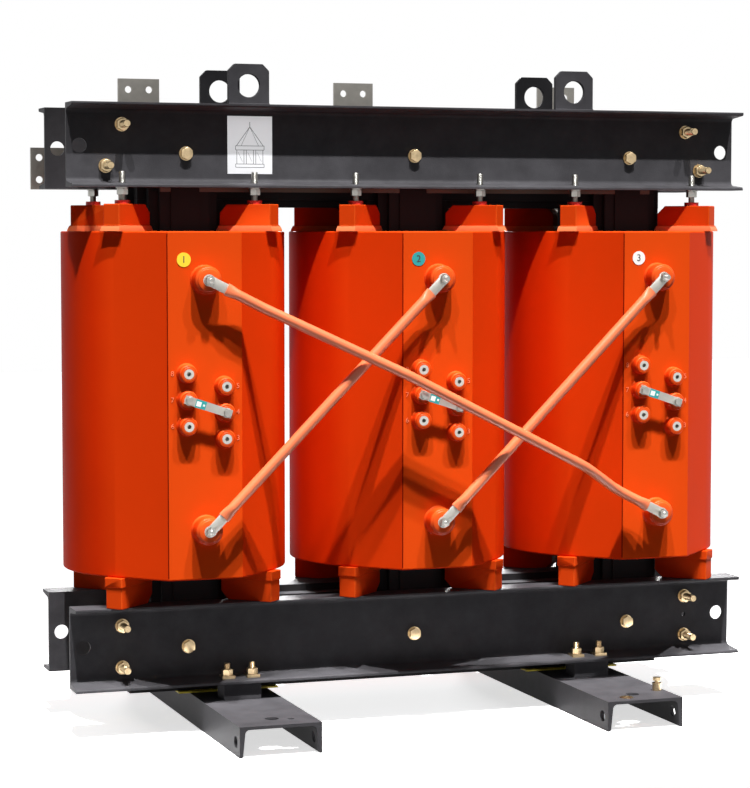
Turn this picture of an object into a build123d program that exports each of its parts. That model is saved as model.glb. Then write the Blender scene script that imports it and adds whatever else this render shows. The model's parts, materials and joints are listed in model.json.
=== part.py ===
"""Three-phase dry type transformer with cast resin coils, built as its separate pieces.

Millimetres, +Z up, X along the clamp beams, front (high-voltage side) towards -Y.
The origin is on the floor, midway between the beams' ends and between the feet's ends.
"""

import os
from math import acos, atan2, cos, degrees, hypot, radians, sin, sqrt

from build123d import *

os.makedirs("parts", exist_ok=True)

# Rolled steel channel, used for the beams and the feet
channel_height = 200.0
channel_breadth = 73.0
channel_web = 7.5
channel_flange = 11.0
channel_flange_slope = 0.1
channel_root_radius = 11.0
channel_toe_radius = 5.0

# Laminated core: half width and outer depth of each packet, from the middle outwards
core_packets = [(126.0, 40.0), (108.0, 76.0), (86.0, 100.0), (62.0, 117.0)]
phase_pitch = 587.0
bottom_yoke_rise = 89.0
top_yoke_rise = 80.0
yoke_pad_width = 256.0
yoke_pad_depth = 120.0
tie_plate_width = 70.0
tie_plate_thickness = 5.0
tie_plate_margin = 45.0
strip_half_height = 90.0
strip_end_gap = 1.0

# Frame
beam_overhang = 167.0
beam_gap_height = 1006.0
beam_end_hole_radius = 18.0
beam_end_hole_inset = 32.0
beam_end_hole_rise = 99.0
small_hole_radius = 5.5
foot_length = 1016.0
foot_spacing = 930.0
foot_block_height = 41.0
foot_block_width = 95.0
foot_block_depth = 60.0
foot_block_setback = 3.0
bolt_hole_clearance = 1.0

# Coils
lv_inner_radius = 148.0
lv_wall = 42.0
coil_gap = 25.0
hv_wall = 60.0
hv_edge_radius = 4.0
panel_half_width = 90.0
panel_stand_out = 25.0

# Support blocks between the coils and the beams
block_angle = 45.0
block_width = 44.0
block_inner_reach = 3.0
block_outer_reach = 10.0
block_base_height = 13.0
block_base_lip = 2.5
block_chamfer = 19.0
top_block_height = 65.0
bottom_block_height = 75.0
bottom_cap_height = 22.0

# Jack studs that press on the top blocks
jack_x = 164.0
jack_gap = 40.0
jack_stud_radius = 8.0
jack_stud_rise = 38.0
jack_pad_radius = 18.5
jack_pad_height = 9.0
m16_nut_flats = 24.0
m16_nut_height = 15.0
m16_washer_radius = 15.5
washer_thickness = 3.0

# Studs that clamp the beam pairs, and bolts that hold the tie plates: insets from the beam's end
clamp_stud_radius = 9.0
clamp_stud_rise = 58.5
clamp_washer_radius = 17.0
clamp_nut_flats = 27.0
clamp_nut_height = 15.0
tie_bolt_head_height = 11.5
top_tie_bolt_rise = 82.0
top_stud_insets = [(135.0, 150.0), (95.0, 51.0)]
bottom_stud_insets = [(128.0, 148.0), (128.0, 46.0)]

# Foot bolts, and the loose shipping bolt on the right foot
foot_bolt_spacing = 63.0
foot_bolt_radius = 8.0
foot_bolt_rise = 30.0
foot_bolt_head_height = 8.0
foot_washer_side = 32.0
foot_nut_base = 17.0
pivot_hole_radius = 17.0
pivot_hole_inset = 77.0
aux_hole_radius = 8.0
aux_hole_x = 42.0
aux_hole_inset = 61.0
roller_hole_x = -32.0
roller_hole_inset = 42.0
tow_hole_radius = 14.0
tow_hole_inset = 34.0
tow_hole_height = 33.0
ship_bolt_x = 79.0
ship_bolt_inset = 103.0
ship_bolt_radius = 6.0
ship_bolt_reach = 20.0
ship_bolt_head_gap = 5.5
ship_sleeve_radius = 11.0
ship_sleeve_height = 17.0

# Lifting lugs
lug_x = 430.0
lug_setback = 8.0
lug_width = 103.0
lug_height = 100.0
lug_thickness = 12.0
lug_chamfer = 16.0
lug_hole_radius = 28.0
lug_hole_rise = 47.5

# High-voltage terminals and tap changing terminals on the coil panel
top_terminal_inset = 115.0
bottom_terminal_inset = 119.0
terminal_boss_radius = 33.0
terminal_boss_length = 38.0
terminal_boss_chamfer = 8.0
terminal_insert_radius = 14.0
terminal_insert_depth = 40.0
terminal_thread_depth = 28.0
terminal_bolt_radius = 6.0
terminal_bolt_reach = 25.0
tap_x = 46.0
tap_spacing = 62.0
tap_middle_rise = 16.0
tap_right_drop = 31.0
tap_boss_radius = 22.0
tap_boss_length = 25.0
tap_boss_taper = 7.0
tap_insert_radius = 11.8
tap_insert_depth = 28.0
tap_thread_depth = 20.0
tap_bolt_radius = 4.9
tap_bolt_reach = 18.0
boss_root = 1.0
insert_stand_out = 1.0
thread_clearance = 0.1
tap_link_width = 20.0
tap_link_thickness = 4.0
tap_link_overhang = 11.0
m12_head_flats = 19.0
m12_head_height = 8.0
m12_washer_radius = 12.0
m12_washer_thickness = 2.5
m12_stud_rise = 14.0
m10_head_flats = 17.0
m10_head_height = 6.5

# Delta links between the phases
link_lug_width = 24.0
link_lug_thickness = 5.0
link_lug_overhang = 12.0
link_lug_length = 46.0
link_hole_clearance = 0.5
link_rod_radius = 9.0
link_sleeve_wall = 3.5
link_bow = 46.0
link_bow_tilt = 13.7
link_bend_radius = 150.0
link_overlap = 3.0

# Low-voltage terminals
lv_bar_width = 109.0
lv_bar_thickness = 8.0
lv_bar_run_rise = 53.0
lv_bar_plate_y = 350.0
lv_bar_top_rise = 89.0
lv_bar_bend = 14.0
lv_hole_radius = 9.0
lv_hole_spacing = 55.0
lv_hole_drop = 28.0
neutral_riser_offset = 87.0
neutral_riser_width = 50.0
neutral_run_rise = 47.0
neutral_bar_setback = 45.0
neutral_bar_height = 106.0
neutral_bar_rise = 54.0
neutral_hole_inset = 22.0
neutral_hole_spacing = 56.0

# Plates and markers
label_width = 113.0
label_top_gap = 26.0
label_x = -426.5
label_rise = 34.0
label_thickness = 1.0
disc_radius = 17.0
disc_thickness = 1.0
disc_x = -51.0
disc_drop = 67.0

# Lengths, worked out from the core outwards
beam_length = 2 * (phase_pitch + core_packets[0][0] + beam_overhang)

# Heights, worked out from the floor upwards
foot_top = channel_breadth
bottom_beam_base = foot_top + foot_block_height
bottom_beam_top = bottom_beam_base + channel_height
top_beam_base = bottom_beam_top + beam_gap_height
top_beam_top = top_beam_base + channel_height
bottom_yoke_height = bottom_beam_base + bottom_yoke_rise
top_yoke_height = top_beam_base + top_yoke_rise
tie_bolt_height_top = top_beam_base + top_tie_bolt_rise
coil_bottom = bottom_beam_top + bottom_block_height
coil_top = top_beam_base - jack_gap - top_block_height
terminal_height_top = coil_top - top_terminal_inset
terminal_height_bottom = coil_bottom + bottom_terminal_inset
tap_middle = (coil_top + coil_bottom) / 2 + tap_middle_rise

# Depths, worked out from the core outwards
core_depth = core_packets[-1][1]
beam_back_y = core_depth + tie_plate_thickness
web_face_y = beam_back_y + channel_web
flange_middle_y = beam_back_y + channel_breadth / 2
lv_outer_radius = lv_inner_radius + lv_wall
hv_inner_radius = lv_outer_radius + coil_gap
hv_outer_radius = hv_inner_radius + hv_wall
panel_depth = hv_outer_radius + panel_stand_out
insert_face_y = panel_depth + terminal_boss_length + insert_stand_out
tap_face_y = panel_depth + tap_boss_length + insert_stand_out
link_mid_y = insert_face_y + link_lug_thickness / 2
lv_bar_start_y = lv_inner_radius + lv_wall / 2
neutral_bar_y = lv_bar_plate_y - neutral_bar_setback

# Places
phases = {"a": -phase_pitch, "b": 0.0, "c": phase_pitch}
sides = {"front": -1, "rear": 1}
jack_hole_radius = jack_stud_radius + bolt_hole_clearance
foot_hole_radius = foot_bolt_radius + bolt_hole_clearance
clamp_hole_radius = clamp_stud_radius + bolt_hole_clearance
top_stud_places = [
    (beam_length / 2 - inset, top_beam_base + rise) for inset, rise in top_stud_insets
]
bottom_stud_places = [
    (beam_length / 2 - inset, bottom_beam_base + rise) for inset, rise in bottom_stud_insets
]
ship_bolt_place = (foot_spacing / 2 + ship_bolt_x, ship_bolt_inset - foot_length / 2)
tap_left_heights = [tap_middle + step * tap_spacing for step in (-1, 0, 1)]
tap_places = [(-tap_x, height) for height in tap_left_heights]
tap_places += [(tap_x, height - tap_right_drop) for height in tap_left_heights]


def save(builder, name):
    """Label a finished piece and write it to its own file."""
    builder.part.label = name
    export_step(builder.part, f"parts/{name}.step")


def mirrored(places):
    """Places to the left and to the right of the middle, for (x, z) pairs."""
    return [(side * x, z) for x, z in places for side in (-1, 1)]


def front_plane(y):
    """A plane at this y, seen from the front: X to the right, Z up, normal towards -Y."""
    return Plane(origin=(0, y, 0), x_dir=(1, 0, 0), z_dir=(0, -1, 0))


def cut_through_y(places, radius):
    """Cut round holes along Y through everything in the current part."""
    with BuildSketch(Plane.XZ) as holes:
        with Locations(*places):
            Circle(radius)
    extrude(holes.sketch, amount=foot_length, both=True, mode=Mode.SUBTRACT)


def cut_down(places, radius, top, depth):
    """Cut round holes downwards from a height, for (x, y) places."""
    with BuildSketch(Plane.XY.offset(top)) as holes:
        with Locations(*places):
            Circle(radius)
    extrude(holes.sketch, amount=-depth, mode=Mode.SUBTRACT)


def add_channel(plane, length):
    """Extrude the channel section: local x from the web's back, local y across the height."""
    half_flange = (channel_breadth - channel_web) / 2
    toe = channel_flange - channel_flange_slope * half_flange
    root = channel_flange + channel_flange_slope * half_flange
    with BuildSketch(plane) as section:
        with BuildLine():
            Polyline(
                (0, 0),
                (channel_breadth, 0),
                (channel_breadth, toe),
                (channel_web, root),
                (channel_web, channel_height - root),
                (channel_breadth, channel_height - toe),
                (channel_breadth, channel_height),
                (0, channel_height),
                close=True,
            )
        make_face()
        columns = section.vertices().group_by(Axis.X)
        fillet(columns[1], channel_root_radius)
        toes = section.vertices().group_by(Axis.X)[-1].sort_by(Axis.Y)[1:3]
        fillet(toes, channel_toe_radius)
    extrude(section.sketch, amount=length)


def beam_plane(side, base):
    """Section plane of a beam, its web's back towards the core and its flanges outwards."""
    return Plane(
        origin=(-side * beam_length / 2, side * beam_back_y, base),
        x_dir=(0, side, 0),
        z_dir=(side, 0, 0),
    )


def make_top_beam(name, side):
    end_hole = (beam_length / 2 - beam_end_hole_inset, top_beam_base + beam_end_hole_rise)
    tie_places = [(x, tie_bolt_height_top) for x in phases.values()]
    jack_holes = [place for place in jack_places() if place[1] * side > 0]
    with BuildPart() as beam:
        add_channel(beam_plane(side, top_beam_base), beam_length)
        cut_through_y(mirrored([end_hole]), beam_end_hole_radius)
        cut_through_y(mirrored(top_stud_places) + tie_places, clamp_hole_radius)
        cut_down(jack_holes, jack_hole_radius, top_beam_base + channel_breadth / 2, channel_breadth)
    save(beam, name)


def make_bottom_beam(name, side):
    end_hole = (beam_length / 2 - beam_end_hole_inset, bottom_beam_base + beam_end_hole_rise)
    small_hole = (bottom_stud_places[0][0], bottom_beam_base + beam_end_hole_rise)
    tie_places = [(x, bottom_yoke_height) for x in phases.values()]
    with BuildPart() as beam:
        add_channel(beam_plane(side, bottom_beam_base), beam_length)
        cut_through_y(mirrored([end_hole]), beam_end_hole_radius)
        cut_through_y(mirrored(bottom_stud_places) + tie_places, clamp_hole_radius)
        cut_through_y([small_hole], small_hole_radius)
        bolts = foot_bolt_places(side)
        cut_down(bolts, foot_hole_radius, bottom_beam_base + channel_breadth / 2, channel_breadth)
    save(beam, name)


def foot_bolt_places(side):
    """The bolts of both feet under one beam, as (x, y)."""
    return [
        (foot * foot_spacing / 2 + s * foot_bolt_spacing / 2, side * flange_middle_y)
        for foot in (-1, 1)
        for s in (-1, 1)
    ]


def make_foot(name, foot_x, extra_hole_x, extra_hole_inset, extra_hole_radius):
    """A channel on its flanges, web up, with holes for rollers near both ends."""
    plane = Plane(
        origin=(foot_x - channel_height / 2, foot_length / 2, foot_top),
        x_dir=(0, 0, -1),
        z_dir=(0, -1, 0),
    )
    pivot_y = foot_length / 2 - pivot_hole_inset
    extra_y = foot_length / 2 - extra_hole_inset
    tow_y = foot_length / 2 - tow_hole_inset
    pivots = [(foot_x, s * pivot_y) for s in (-1, 1)]
    extras = [(foot_x + extra_hole_x, s * extra_y) for s in (-1, 1)]
    bolts = [p for s in (-1, 1) for p in foot_bolt_places(s) if abs(p[0] - foot_x) < channel_height / 2]
    with BuildPart() as foot:
        add_channel(plane, foot_length)
        cut_down(pivots, pivot_hole_radius, foot_top, channel_breadth)
        cut_down(extras, extra_hole_radius, foot_top, channel_breadth)
        cut_down(bolts, foot_hole_radius, foot_top, channel_breadth)
        if foot_x > 0:
            ship_hole_radius = ship_bolt_radius + bolt_hole_clearance
            cut_down([ship_bolt_place], ship_hole_radius, foot_top, channel_breadth)
        with BuildSketch(Plane.YZ.offset(foot_x)):
            with Locations((-tow_y, tow_hole_height), (tow_y, tow_hole_height)):
                Circle(tow_hole_radius)
        extrude(amount=channel_height, both=True, mode=Mode.SUBTRACT)
    save(foot, name)


def make_foot_blocks():
    with BuildPart() as blocks:
        for side in sides.values():
            for foot in (-1, 1):
                center_y = side * (beam_back_y + foot_block_setback + foot_block_depth / 2)
                with Locations((foot * foot_spacing / 2, center_y, foot_top)):
                    Box(
                        foot_block_width,
                        foot_block_depth,
                        foot_block_height,
                        align=(Align.CENTER, Align.CENTER, Align.MIN),
                    )
            cut_down(foot_bolt_places(side), foot_hole_radius, bottom_beam_base, foot_block_height)
    save(blocks, "foot_blocks")


def make_yoke_pads():
    pad_height = bottom_yoke_height - core_packets[0][0] - foot_top
    with BuildPart() as pads:
        with Locations(*[(s * foot_spacing / 2, 0, foot_top) for s in (-1, 1)]):
            Box(
                yoke_pad_width,
                yoke_pad_depth,
                pad_height,
                align=(Align.CENTER, Align.CENTER, Align.MIN),
            )
    save(pads, "yoke_pads")


def packet_layers():
    """Each packet's half width with the y of its middle and its thickness."""
    inner = 0.0
    for half_width, outer in core_packets:
        if inner == 0.0:
            yield half_width, 0.0, 2 * outer
        else:
            for side in (-1, 1):
                yield half_width, side * (inner + outer) / 2, outer - inner
        inner = outer


def make_yoke(name, height):
    with BuildPart() as yoke:
        for half_width, y, thickness in packet_layers():
            with Locations((0, y, height)):
                Box(2 * (phase_pitch + half_width), thickness, 2 * half_width)
    save(yoke, name)


def make_limb(name, x):
    with BuildPart() as limb:
        for half_width, y, thickness in packet_layers():
            length = top_yoke_height - bottom_yoke_height - 2 * half_width
            with Locations((x, y, (top_yoke_height + bottom_yoke_height) / 2)):
                Box(2 * half_width, thickness, length)
    save(limb, name)


def make_tie_plates():
    bottom = bottom_beam_base + tie_plate_margin
    top = top_beam_top - tie_plate_margin
    with BuildPart() as plates:
        for side in sides.values():
            for x in phases.values():
                with Locations((x, side * (core_depth + tie_plate_thickness / 2), (bottom + top) / 2)):
                    Box(tie_plate_width, tie_plate_thickness, top - bottom)
        for height in (bottom_yoke_height, tie_bolt_height_top):
            cut_through_y([(x, height) for x in phases.values()], clamp_hole_radius)
    save(plates, "tie_plates")


def make_clamp_strips():
    """Insulating strips between the yokes and the beams, on both sides of the tie plates."""
    clear_half = tie_plate_width / 2 + strip_end_gap
    inner_length = phase_pitch - 2 * clear_half
    outer_length = core_packets[-1][0] - clear_half
    outer_x = phase_pitch + clear_half + outer_length / 2
    with BuildPart() as strips:
        for side in sides.values():
            y = side * (core_depth + tie_plate_thickness / 2)
            for z in (bottom_yoke_height, top_yoke_height):
                with Locations((-phase_pitch / 2, y, z), (phase_pitch / 2, y, z)):
                    Box(inner_length, tie_plate_thickness, 2 * strip_half_height)
                with Locations((-outer_x, y, z), (outer_x, y, z)):
                    Box(outer_length, tie_plate_thickness, 2 * strip_half_height)
    save(strips, "clamp_strips")


def make_lv_coil(name, x):
    with BuildPart() as coil:
        with BuildSketch(Plane.XY.offset(coil_bottom)):
            with Locations((x, 0)):
                Circle(lv_outer_radius)
                Circle(lv_inner_radius, mode=Mode.SUBTRACT)
        extrude(amount=coil_top - coil_bottom)
    save(coil, name)


def make_hv_coil(name, x):
    """A resin cylinder with a flat terminal panel, blended tangentially, and its cast bosses."""
    corner_distance = hypot(panel_half_width, panel_depth)
    tangent_angle = atan2(panel_half_width, panel_depth) + acos(hv_outer_radius / corner_distance)
    tangent_x = hv_outer_radius * sin(tangent_angle)
    tangent_y = -hv_outer_radius * cos(tangent_angle)
    with BuildPart() as coil:
        with BuildSketch(Plane((x, 0, coil_bottom))):
            with BuildLine():
                ThreePointArc((tangent_x, tangent_y), (0, hv_outer_radius), (-tangent_x, tangent_y))
                Polyline(
                    (-tangent_x, tangent_y),
                    (-panel_half_width, -panel_depth),
                    (panel_half_width, -panel_depth),
                    (tangent_x, tangent_y),
                )
            make_face()
        extrude(amount=coil_top - coil_bottom)
        end_faces = coil.faces().filter_by(Axis.Z)
        fillet(end_faces.edges(), hv_edge_radius)
        with BuildSketch(Plane.XY.offset(coil_bottom)):
            with Locations((x, 0)):
                Circle(hv_inner_radius)
        extrude(amount=coil_top - coil_bottom, mode=Mode.SUBTRACT)
        terminals = [(x, terminal_height_bottom), (x, terminal_height_top)]
        taps = [(x + tap, height) for tap, height in tap_places]
        straight = terminal_boss_length - terminal_boss_chamfer
        add_bosses(terminals, terminal_boss_radius, panel_depth - boss_root, straight + boss_root, 0)
        add_bosses(terminals, terminal_boss_radius, panel_depth + straight, terminal_boss_chamfer, 45)
        tap_length = tap_boss_length + boss_root
        add_bosses(taps, tap_boss_radius, panel_depth - boss_root, tap_length, tap_boss_taper)
        bore_inserts(terminals, terminal_insert_radius, terminal_boss_length, terminal_insert_depth)
        bore_inserts(taps, tap_insert_radius, tap_boss_length, tap_insert_depth)
    save(coil, name)


def add_bosses(places, radius, depth, length, taper):
    """Round bosses that stand out to the front from a depth in front of the coil's axis."""
    with BuildSketch(front_plane(-depth)) as bosses:
        with Locations(*places):
            Circle(radius)
    extrude(bosses.sketch, amount=length, taper=taper)


def bore_inserts(places, radius, boss_length, depth):
    """Blind bores in the bosses for the metal inserts."""
    with BuildSketch(front_plane(-(panel_depth + boss_length))) as bores:
        with Locations(*places):
            Circle(radius)
    extrude(bores.sketch, amount=-(depth - insert_stand_out), mode=Mode.SUBTRACT)


def make_inserts(name, places, radius, thread_radius, face_y, depth, thread_depth):
    """Threaded metal bushes cast into the bosses, standing just proud of the resin."""
    with BuildPart() as inserts:
        with BuildSketch(front_plane(-face_y)):
            with Locations(*places):
                Circle(radius)
        extrude(amount=-depth)
        with BuildSketch(front_plane(-face_y)):
            with Locations(*places):
                Circle(thread_radius)
        extrude(amount=-thread_depth, mode=Mode.SUBTRACT)
    save(inserts, name)


def make_block_set(name, base, up, end_height):
    """Four radial support blocks on each coil; up is 1 on top of the coils and -1 below."""
    height = abs(end_height - base)
    cap = block_base_height if up > 0 else bottom_cap_height
    inner_radius = lv_inner_radius - block_inner_reach
    length = hv_outer_radius + block_outer_reach - inner_radius
    quadrants = [(x, sx, sy) for x in phases.values() for sx in (-1, 1) for sy in (-1, 1)]
    with BuildPart() as blocks:
        for x, quadrant_x, quadrant_y in quadrants:
            angle = radians(block_angle)
            outward = Vector(quadrant_x * cos(angle), quadrant_y * sin(angle), 0)
            across = Vector(0, 0, up).cross(outward)
            start = Vector(x, 0, base) + outward * inner_radius
            stem_plane = Plane(origin=start - across * (block_width / 2), x_dir=outward, z_dir=across)
            rise = up if stem_plane.y_dir.Z > 0 else -up
            with BuildSketch(stem_plane):
                with BuildLine():
                    Polyline(
                        (0, 0),
                        (length, 0),
                        (length, rise * height),
                        (block_chamfer, rise * height),
                        (0, rise * (height - block_chamfer)),
                        close=True,
                    )
                make_face()
            extrude(amount=block_width)
            cap_plane = Plane(origin=start + outward * (length / 2), x_dir=outward, z_dir=(0, 0, up))
            with BuildSketch(cap_plane):
                Rectangle(length + 2 * block_base_lip, block_width + 2 * block_base_lip)
            extrude(amount=cap)
    save(blocks, name)


def jack_places():
    return [
        (x + sx * jack_x, sy * flange_middle_y)
        for x in phases.values()
        for sx in (-1, 1)
        for sy in (-1, 1)
    ]


def make_round_set(name, plane, places, radius, height, hole=0.0):
    """Identical round pieces, such as studs, pads and washers."""
    with BuildPart() as pieces:
        with BuildSketch(plane):
            with Locations(*places):
                Circle(radius)
                if hole > 0:
                    Circle(hole, mode=Mode.SUBTRACT)
        extrude(amount=height)
    save(pieces, name)


def make_jacks():
    block_top = coil_top + top_block_height
    stud_bottom = block_top + jack_pad_height
    stud_height = top_beam_base + jack_stud_rise - stud_bottom
    washer_base = top_beam_base - washer_thickness
    places = jack_places()
    make_round_set("jack_pads", Plane.XY.offset(block_top), places, jack_pad_radius, jack_pad_height)
    make_round_set("jack_studs", Plane.XY.offset(stud_bottom), places, jack_stud_radius, stud_height)
    make_round_set(
        "jack_washers",
        Plane.XY.offset(washer_base),
        places,
        m16_washer_radius,
        washer_thickness,
        jack_stud_radius,
    )
    with BuildPart() as nuts:
        with BuildSketch(Plane.XY.offset(washer_base)):
            with Locations(*places):
                RegularPolygon(m16_nut_flats / sqrt(3), 6)
                Circle(jack_stud_radius, mode=Mode.SUBTRACT)
        extrude(amount=-m16_nut_height)
    save(nuts, "jack_nuts")


def tie_bolt_places():
    return [(x, z) for x in phases.values() for z in (bottom_yoke_height, tie_bolt_height_top)]


def make_beam_washers():
    """Washers on the beam webs, under the clamp nuts and the tie plate bolts."""
    places = mirrored(top_stud_places + bottom_stud_places) + tie_bolt_places()
    with BuildPart() as washers:
        for side in sides.values():
            with BuildSketch(front_plane(side * web_face_y)):
                with Locations(*places):
                    Circle(clamp_washer_radius)
                    Circle(clamp_stud_radius, mode=Mode.SUBTRACT)
            extrude(amount=-side * washer_thickness)
    save(washers, "beam_washers")


def make_clamp_studs():
    places = mirrored(top_stud_places + bottom_stud_places)
    with BuildPart() as studs:
        with BuildSketch(Plane.XZ):
            with Locations(*places):
                Circle(clamp_stud_radius)
        extrude(amount=web_face_y + clamp_stud_rise, both=True)
    save(studs, "clamp_studs")
    with BuildPart() as nuts:
        for side in sides.values():
            with BuildSketch(front_plane(side * (web_face_y + washer_thickness))):
                with Locations(*places):
                    RegularPolygon(clamp_nut_flats / sqrt(3), 6)
                    Circle(clamp_stud_radius, mode=Mode.SUBTRACT)
            extrude(amount=-side * clamp_nut_height)
    save(nuts, "clamp_nuts")


def make_tie_bolts():
    places = tie_bolt_places()
    head_y = web_face_y + washer_thickness
    with BuildPart() as bolts:
        for side in sides.values():
            with BuildSketch(front_plane(side * head_y)):
                with Locations(*places):
                    RegularPolygon(clamp_nut_flats / sqrt(3), 6)
            extrude(amount=-side * tie_bolt_head_height)
            with BuildSketch(front_plane(side * head_y)):
                with Locations(*places):
                    Circle(clamp_stud_radius)
            extrude(amount=side * (head_y - core_depth))
    save(bolts, "tie_bolts")


def flange_thickness(distance):
    """Thickness of a sloped flange at a distance from the back of the web."""
    middle = (channel_web + channel_breadth) / 2
    return channel_flange + channel_flange_slope * (middle - distance)


def make_foot_bolts():
    places = foot_bolt_places(-1) + foot_bolt_places(1)
    web_underside = foot_top - channel_web
    nut_base = bottom_beam_base + foot_nut_base
    with BuildPart() as washers:
        for x, y in places:
            edges = [y - foot_washer_side / 2, y + foot_washer_side / 2]
            seats = [bottom_beam_base + flange_thickness(abs(edge) - beam_back_y) for edge in edges]
            with BuildSketch(Plane.YZ.offset(x - foot_washer_side / 2)):
                with BuildLine():
                    Polyline(
                        (edges[0], seats[0]),
                        (edges[1], seats[1]),
                        (edges[1], nut_base),
                        (edges[0], nut_base),
                        close=True,
                    )
                make_face()
            extrude(amount=foot_washer_side)
        cut_down(places, foot_bolt_radius, nut_base, channel_breadth)
    save(washers, "foot_bolt_washers")
    with BuildPart() as nuts:
        with BuildSketch(Plane.XY.offset(nut_base)):
            with Locations(*places):
                RegularPolygon(m16_nut_flats / sqrt(3), 6)
                Circle(foot_bolt_radius, mode=Mode.SUBTRACT)
        extrude(amount=m16_nut_height)
    save(nuts, "foot_bolt_nuts")
    with BuildPart() as bolts:
        with BuildSketch(Plane.XY.offset(web_underside)):
            with Locations(*places):
                RegularPolygon(m16_nut_flats / sqrt(3), 6)
        extrude(amount=-foot_bolt_head_height)
        with BuildSketch(Plane.XY.offset(web_underside)):
            with Locations(*places):
                Circle(foot_bolt_radius)
        extrude(amount=nut_base + foot_bolt_rise - web_underside)
    save(bolts, "foot_bolts")


def make_ship_bolt():
    """A long bolt left in the right foot, on a spacer tube, for the shipping brace."""
    sleeve_top = foot_top + ship_sleeve_height
    head_base = sleeve_top + m12_washer_thickness + ship_bolt_head_gap
    here = [ship_bolt_place]
    make_round_set(
        "ship_bolt_sleeve",
        Plane.XY.offset(foot_top),
        here,
        ship_sleeve_radius,
        ship_sleeve_height,
        ship_bolt_radius,
    )
    with BuildPart() as bolt:
        with BuildSketch(Plane.XY.offset(head_base)):
            with Locations(*here):
                RegularPolygon(m12_head_flats / sqrt(3), 6)
        extrude(amount=m12_head_height)
        with BuildSketch(Plane.XY.offset(foot_top - ship_bolt_reach)):
            with Locations(*here):
                Circle(ship_bolt_radius)
        extrude(amount=head_base - foot_top + ship_bolt_reach)
    save(bolt, "ship_bolt")
    make_round_set(
        "ship_bolt_washer",
        Plane.XY.offset(sleeve_top),
        here,
        m12_washer_radius,
        m12_washer_thickness,
        ship_bolt_radius,
    )


def make_lifting_lugs():
    with BuildPart() as lugs:
        for side in sides.values():
            for x in (-lug_x, lug_x):
                with BuildSketch(front_plane(side * (beam_back_y + lug_setback) + lug_thickness / 2)):
                    with BuildLine():
                        Polyline(
                            (x - lug_width / 2, top_beam_top),
                            (x + lug_width / 2, top_beam_top),
                            (x + lug_width / 2, top_beam_top + lug_height - lug_chamfer),
                            (x + lug_width / 2 - lug_chamfer, top_beam_top + lug_height),
                            (x - lug_width / 2 + lug_chamfer, top_beam_top + lug_height),
                            (x - lug_width / 2, top_beam_top + lug_height - lug_chamfer),
                            close=True,
                        )
                    make_face()
                    with Locations((x, top_beam_top + lug_hole_rise)):
                        Circle(lug_hole_radius, mode=Mode.SUBTRACT)
                extrude(amount=lug_thickness)
    save(lugs, "lifting_lugs")


def make_terminal_fasteners():
    """Washers and bolts of the high-voltage terminals; two upper ones are studs with nuts."""
    places = [(x, z) for x in phases.values() for z in (terminal_height_bottom, terminal_height_top)]
    washer_y = insert_face_y + link_lug_thickness
    head_y = washer_y + m12_washer_thickness
    studs = [(phases["b"], terminal_height_top), (phases["c"], terminal_height_top)]
    with BuildPart() as washers:
        with BuildSketch(front_plane(-washer_y)):
            with Locations(*places):
                Circle(m12_washer_radius)
                Circle(terminal_bolt_radius, mode=Mode.SUBTRACT)
        extrude(amount=m12_washer_thickness)
    save(washers, "terminal_washers")
    with BuildPart() as bolts:
        with BuildSketch(front_plane(-head_y)):
            with Locations(*places):
                RegularPolygon(m12_head_flats / sqrt(3), 6)
        extrude(amount=m12_head_height)
        with BuildSketch(front_plane(-head_y)):
            with Locations(*places):
                Circle(terminal_bolt_radius)
        extrude(amount=-(head_y - insert_face_y + terminal_bolt_reach))
        with BuildSketch(front_plane(-(head_y + m12_head_height))):
            with Locations(*studs):
                Circle(terminal_bolt_radius)
        extrude(amount=m12_stud_rise)
    save(bolts, "terminal_bolts")


def make_tap_links():
    """The flat link that joins the middle pair of taps on each coil, with its two bolts."""
    left = Vector(-tap_x, tap_left_heights[1])
    right = Vector(tap_x, tap_left_heights[1] - tap_right_drop)
    run = right - left
    middle = (left + right) / 2
    tilt = degrees(atan2(run.Y, run.X))
    with BuildPart() as links:
        with BuildSketch(front_plane(-tap_face_y)):
            for x in phases.values():
                with Locations(Location((x + middle.X, middle.Y), tilt)):
                    Rectangle(run.length + 2 * tap_link_overhang, tap_link_width)
                with Locations((x + left.X, left.Y), (x + right.X, right.Y)):
                    Circle(tap_bolt_radius + thread_clearance, mode=Mode.SUBTRACT)
        extrude(amount=tap_link_thickness)
    save(links, "tap_links")
    places = [(x + end.X, end.Y) for x in phases.values() for end in (left, right)]
    head_y = tap_face_y + tap_link_thickness
    with BuildPart() as bolts:
        with BuildSketch(front_plane(-head_y)):
            with Locations(*places):
                RegularPolygon(m10_head_flats / sqrt(3), 6)
        extrude(amount=m10_head_height)
        with BuildSketch(front_plane(-head_y)):
            with Locations(*places):
                Circle(tap_bolt_radius)
        extrude(amount=-(tap_link_thickness + tap_bolt_reach))
    save(bolts, "tap_bolts")


def link_frame(start, end):
    """The terminal-to-terminal frame of a delta link: local x along it, local z outwards."""
    along = Vector(end[0] - start[0], 0, end[1] - start[1])
    plane = Plane(origin=(start[0], -link_mid_y, start[1]), x_dir=along, z_dir=(0, -1, 0))
    return plane, along.length


def link_path_points(length, bowed, margin):
    """Points of a link's centre line in its own plane, straight or bowed clear of the others."""
    if not bowed:
        return [(margin, 0), (length - margin, 0)]
    shares = [(0.11, 0), (0.40, link_bow), (0.80, link_bow), (0.89, 0)]
    middle = [(share * length, offset) for share, offset in shares]
    return [(margin, 0)] + middle + [(length - margin, 0)]


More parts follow.
